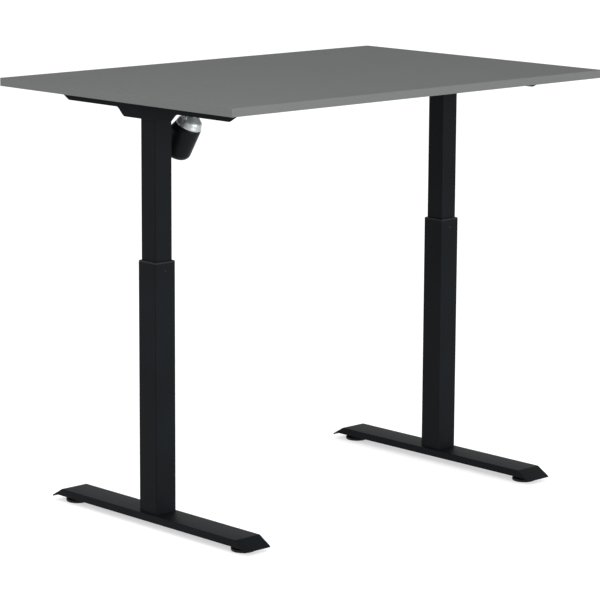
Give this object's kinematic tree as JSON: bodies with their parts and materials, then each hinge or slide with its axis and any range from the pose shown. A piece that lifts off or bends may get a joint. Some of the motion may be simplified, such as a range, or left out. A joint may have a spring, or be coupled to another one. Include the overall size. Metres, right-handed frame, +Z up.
{
  "type": "height adjustable desk",
  "caption": "Electric sit-stand desk: flat grey worktop on black telescopic square columns with channel feet, a motor and gearbox under the top, cross shaft and key pad.",
  "frame": {"origin": "on the floor, below the middle of the worktop", "axes": "+Z up, X along the worktop's length with the motor's column at -X, +Y towards the user's side, where the handset is"},
  "size_m": [1.2, 0.8, 1.012],
  "materials": {
    "laminate": "matt grey laminate over chipboard, fine texture",
    "edge_plastic": "matt grey edge band",
    "powder_coat": "fine-textured black powder coat",
    "black_plastic": "moulded, fine grain",
    "foot_plastic": "moulded, satin",
    "key_plastic": "moulded, satin",
    "cast_alloy": "die cast, bright",
    "motor_black": "satin black paint",
    "fastener": "black zinc",
    "bright_fastener": "bright zinc",
    "plain_steel": "drawn",
    "bearing_steel": "ground",
    "gear_bronze": "sintered",
    "nylon": "natural",
    "magnet": "dull",
    "copper": "lacquered winding",
    "circuit_board": "solder mask"
  },
  "bodies": {
    "base": {"foot_left": "powder_coat", "foot_right": "powder_coat", "base_plates": "plain_steel", "foot_screws": "fastener", "levelling_nuts": "plain_steel", "outer_tube_left": "powder_coat", "outer_tube_right": "powder_coat", "guide_collar_left": "black_plastic", "guide_collar_right": "black_plastic", "collar_pins": "black_plastic", "nut_tubes": "plain_steel", "spindle_nuts": "nylon"},
    "carriage": {"worktop": "laminate", "edge_band": "edge_plastic", "support_arm_left": "powder_coat", "support_arm_right": "powder_coat", "beam_rail_front": "powder_coat", "beam_rail_back": "powder_coat", "beam_screws": "fastener", "worktop_screws": "fastener", "column_bolts": "fastener", "top_plate_left": "powder_coat", "top_plate_right": "powder_coat", "inner_tube_left": "powder_coat", "inner_tube_right": "powder_coat", "lower_glide_left": "black_plastic", "lower_glide_right": "black_plastic", "gear_head_left": "cast_alloy", "gear_head_right": "cast_alloy", "spindle_bearings": "bearing_steel", "gearbox_housing": "cast_alloy", "gearbox_cap": "black_plastic", "gearbox_screws": "fastener", "motor_can": "motor_black", "motor_magnets": "magnet", "motor_screws": "bright_fastener", "control_box": "black_plastic", "control_box_plate": "black_plastic", "control_board": "circuit_board", "mains_inlet": "black_plastic", "control_sockets": "black_plastic", "handset_case": "black_plastic", "handset_board": "circuit_board", "handset_screws": "fastener"},
    "up_key": {"up_button": "key_plastic"},
    "down_key": {"down_button": "key_plastic"},
    "cross_shaft": {"drive_shaft": "plain_steel", "shaft_bevel_gears": "gear_bronze", "worm_wheel": "nylon"},
    "motor_rotor": {"worm": "plain_steel", "armature": "copper"},
    "left_spindle": {"spindle_left": "plain_steel", "spindle_gear_left": "gear_bronze"},
    "right_spindle": {"spindle_right": "plain_steel", "spindle_gear_right": "gear_bronze"},
    "level_left_front": {"level_foot_left_front": "foot_plastic"},
    "level_left_back": {"level_foot_left_back": "foot_plastic"},
    "level_right_front": {"level_foot_right_front": "foot_plastic"},
    "level_right_back": {"level_foot_right_back": "foot_plastic"}
  },
  "joints": [
    {"name": "lift", "type": "slide", "parent": "base", "child": "carriage", "axis": [0, 0, 1], "range_m": [-0.31, 0.16]},
    {"name": "shaft_spin", "type": "hinge", "parent": "carriage", "child": "cross_shaft", "pos_m": [0, 0, 0.97], "axis": [1, 0, 0], "continuous": true},
    {"name": "rotor_spin", "type": "hinge", "parent": "carriage", "child": "motor_rotor", "pos_m": [-0.3743, -0.0039, 0.9205], "axis": [0.1305, -0.4299, 0.8934], "continuous": true},
    {"name": "left_spindle_spin", "type": "hinge", "parent": "carriage", "child": "left_spindle", "pos_m": [-0.4676, 0, 0.97], "axis": [0, 0, 1], "continuous": true},
    {"name": "right_spindle_spin", "type": "hinge", "parent": "carriage", "child": "right_spindle", "pos_m": [0.4676, 0, 0.97], "axis": [0, 0, 1], "continuous": true},
    {"name": "up_press", "type": "slide", "parent": "carriage", "child": "up_key", "axis": [0, -1, 0], "range_m": [0, 0.0012], "stiffness_N_per_m": 900, "springref_m": -0.0006},
    {"name": "down_press", "type": "slide", "parent": "carriage", "child": "down_key", "axis": [0, -1, 0], "range_m": [0, 0.0012], "stiffness_N_per_m": 900, "springref_m": -0.0006},
    {"name": "level_left_front_screw", "type": "slide", "parent": "base", "child": "level_left_front", "axis": [0, 0, -1], "range_m": [0, 0.01]},
    {"name": "level_left_back_screw", "type": "slide", "parent": "base", "child": "level_left_back", "axis": [0, 0, -1], "range_m": [0, 0.01]},
    {"name": "level_right_front_screw", "type": "slide", "parent": "base", "child": "level_right_front", "axis": [0, 0, -1], "range_m": [0, 0.01]},
    {"name": "level_right_back_screw", "type": "slide", "parent": "base", "child": "level_right_back", "axis": [0, 0, -1], "range_m": [0, 0.01]}
  ],
  "couplings": [
    {"joint": "shaft_spin", "follows": "lift", "rad_per_m": 523.6},
    {"joint": "left_spindle_spin", "follows": "lift", "rad_per_m": 523.6},
    {"joint": "right_spindle_spin", "follows": "lift", "rad_per_m": -523.6},
    {"joint": "rotor_spin", "follows": "lift", "rad_per_m": 7068.6}
  ]
}
